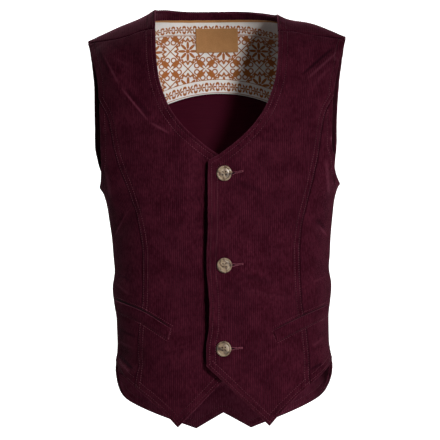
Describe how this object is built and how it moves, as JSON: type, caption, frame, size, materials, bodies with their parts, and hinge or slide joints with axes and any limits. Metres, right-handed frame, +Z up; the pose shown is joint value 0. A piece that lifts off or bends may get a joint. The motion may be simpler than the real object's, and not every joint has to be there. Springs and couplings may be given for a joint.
{
  "type": "corduroy vest",
  "caption": "Sleeveless V-neck corduroy vest, buttoned and filled out as if worn, with slanted welt pockets, pointed front hem and open neck, armholes and hem.",
  "frame": {"origin": "midway between the neck points of the two shoulders, on the ridge that a hanger or a dress form holds up", "axes": "+X to the wearer's left, +Y to the wearer's back, so the front faces -Y, and +Z up"},
  "size_m": [0.372, 0.2446, 0.6165],
  "materials": {
    "corduroy": "dark wine cotton corduroy with fine upright wales",
    "print": "off-white cotton with a rust print",
    "lining": "smooth dark wine lining with a soft sheen",
    "tape": "tan woven tape",
    "patch": "tan bare patch",
    "button": "polished horn look, mottled brown",
    "thread": "wine sewing thread"
  },
  "bodies": {
    "root": {"front_left": "corduroy", "front_right": "corduroy", "side_front_left": "corduroy", "side_front_right": "corduroy", "back": "corduroy", "welt_left": "corduroy", "welt_right": "corduroy", "neck_band": "corduroy", "hem_facing": "corduroy", "yoke_lining": "print", "back_lining": "lining", "neck_tape": "tape", "neck_patch": "patch", "button_1": "button", "button_2": "button", "button_3": "button"}
  },
  "joints": []
}
